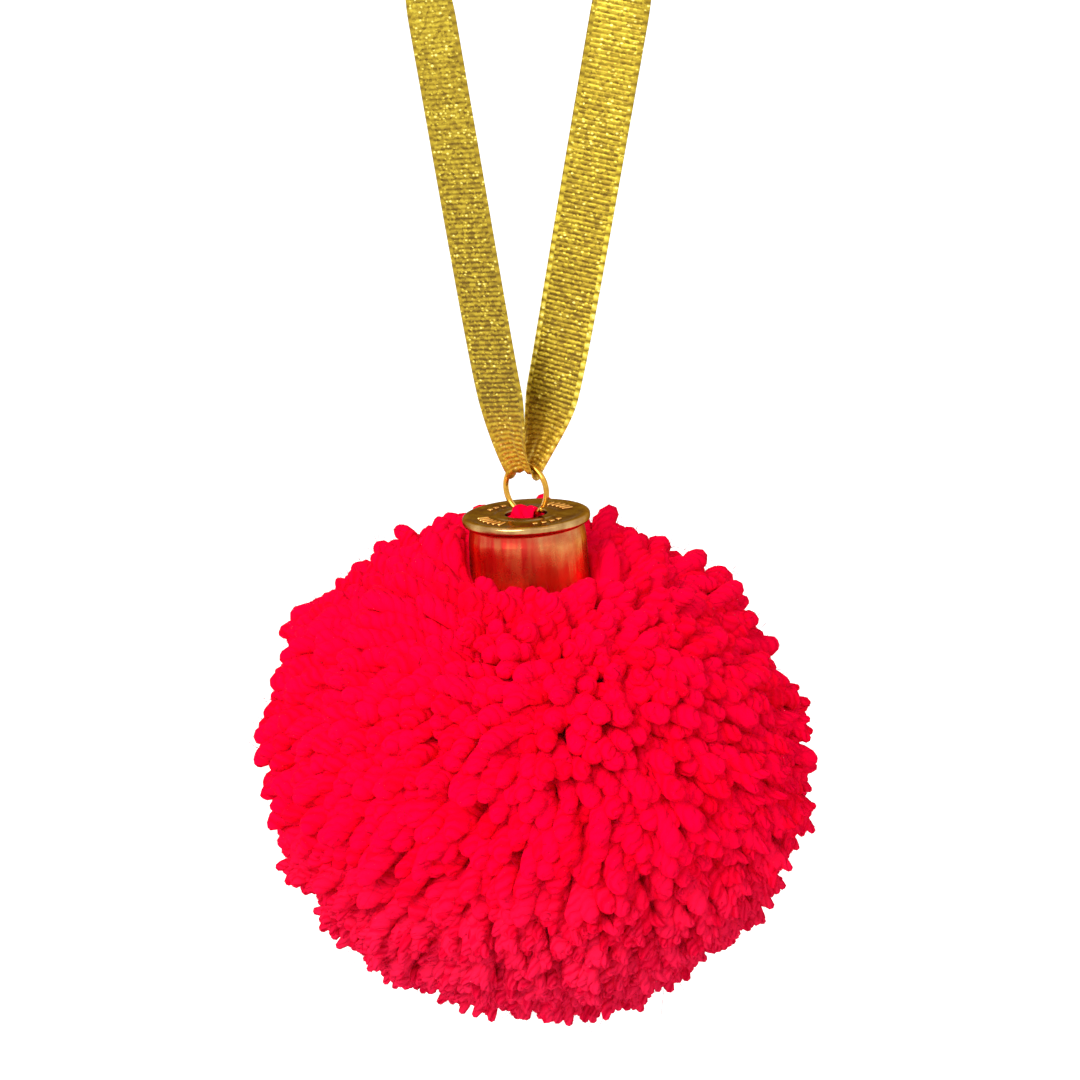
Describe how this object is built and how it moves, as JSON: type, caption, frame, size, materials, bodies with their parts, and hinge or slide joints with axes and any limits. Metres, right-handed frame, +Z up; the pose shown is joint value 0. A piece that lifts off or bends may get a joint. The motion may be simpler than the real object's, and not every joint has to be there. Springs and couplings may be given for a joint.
{
  "type": "yarn pom pom ornament",
  "caption": "Ball of cut yarn hung by a small brass cap and a jump ring from a loop of metallic ribbon, for decorating a tree, a door or a gift.",
  "frame": {"origin": "the hanging point, on the inside of the top of the ribbon loop, where a hook or a twig bears", "axes": "+Z up along the hanging line, +X to the viewer's right, -Y towards the viewer of the picture"},
  "size_m": [0.0959, 0.0958, 0.2246],
  "materials": {
    "red_yarn": "soft plied acrylic yarn, cut ends",
    "brass": "drawn brass, polished, a little tarnished",
    "gold_plate": "bright gold plate",
    "metallic_ribbon": "woven metallic gold thread"
  },
  "bodies": {
    "hanger": {"hanging_ribbon": "metallic_ribbon", "jump_ring": "gold_plate"},
    "pompom": {"brass_cap": "brass", "yarn_pompom": "red_yarn", "tie_yarn": "red_yarn"}
  },
  "joints": [
    {"name": "ring_swing", "type": "hinge", "parent": "hanger", "child": "pompom", "pos_m": [0, 0, -0.13523], "axis": [0.788, -0.6157, 0], "range_deg": [-45, 45]}
  ]
}
